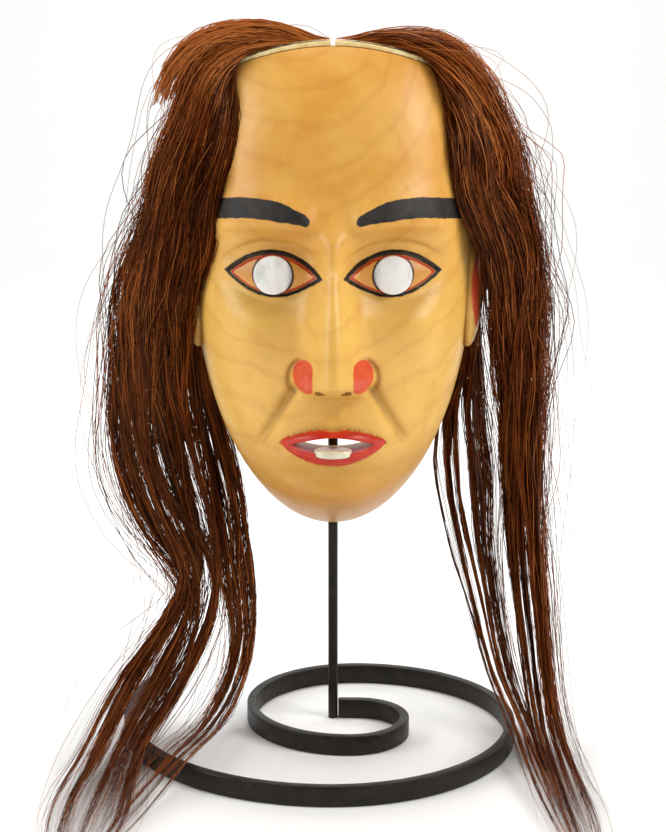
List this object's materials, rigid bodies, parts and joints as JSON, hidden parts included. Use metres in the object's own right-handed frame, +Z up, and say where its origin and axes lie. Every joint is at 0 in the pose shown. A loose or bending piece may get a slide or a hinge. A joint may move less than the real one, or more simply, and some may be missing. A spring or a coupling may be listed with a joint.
{
  "type": "carved face mask",
  "caption": "Carved and painted wooden face mask with shell inlays and long dark hair, held upright by an iron rod on a flat spiral foot.",
  "frame": {"origin": "on the surface the stand stands on, under the axis of its upright rod", "axes": "+Z up along the rod, -Y the way the mask looks, +X to the right of a viewer in front"},
  "size_m": [0.298, 0.2893, 0.4369],
  "materials": {
    "wood": "satin carved softwood, pale yellow to orange, with matt black and red paint",
    "pearl": "polished mother-of-pearl",
    "shell": "smooth pale shell",
    "hide": "stiff pale rawhide",
    "hair": "long glossy dark reddish brown hair",
    "iron": "satin near-black paint over iron bar"
  },
  "bodies": {
    "root": {"mask_face": "wood", "pearl_eye_left": "pearl", "pearl_eye_right": "pearl", "labret": "shell", "hide_strip_left": "hide", "hide_strip_right": "hide", "hair_left": "hair", "hair_right": "hair", "stand_spiral": "iron", "stand_rod": "iron"}
  },
  "joints": []
}
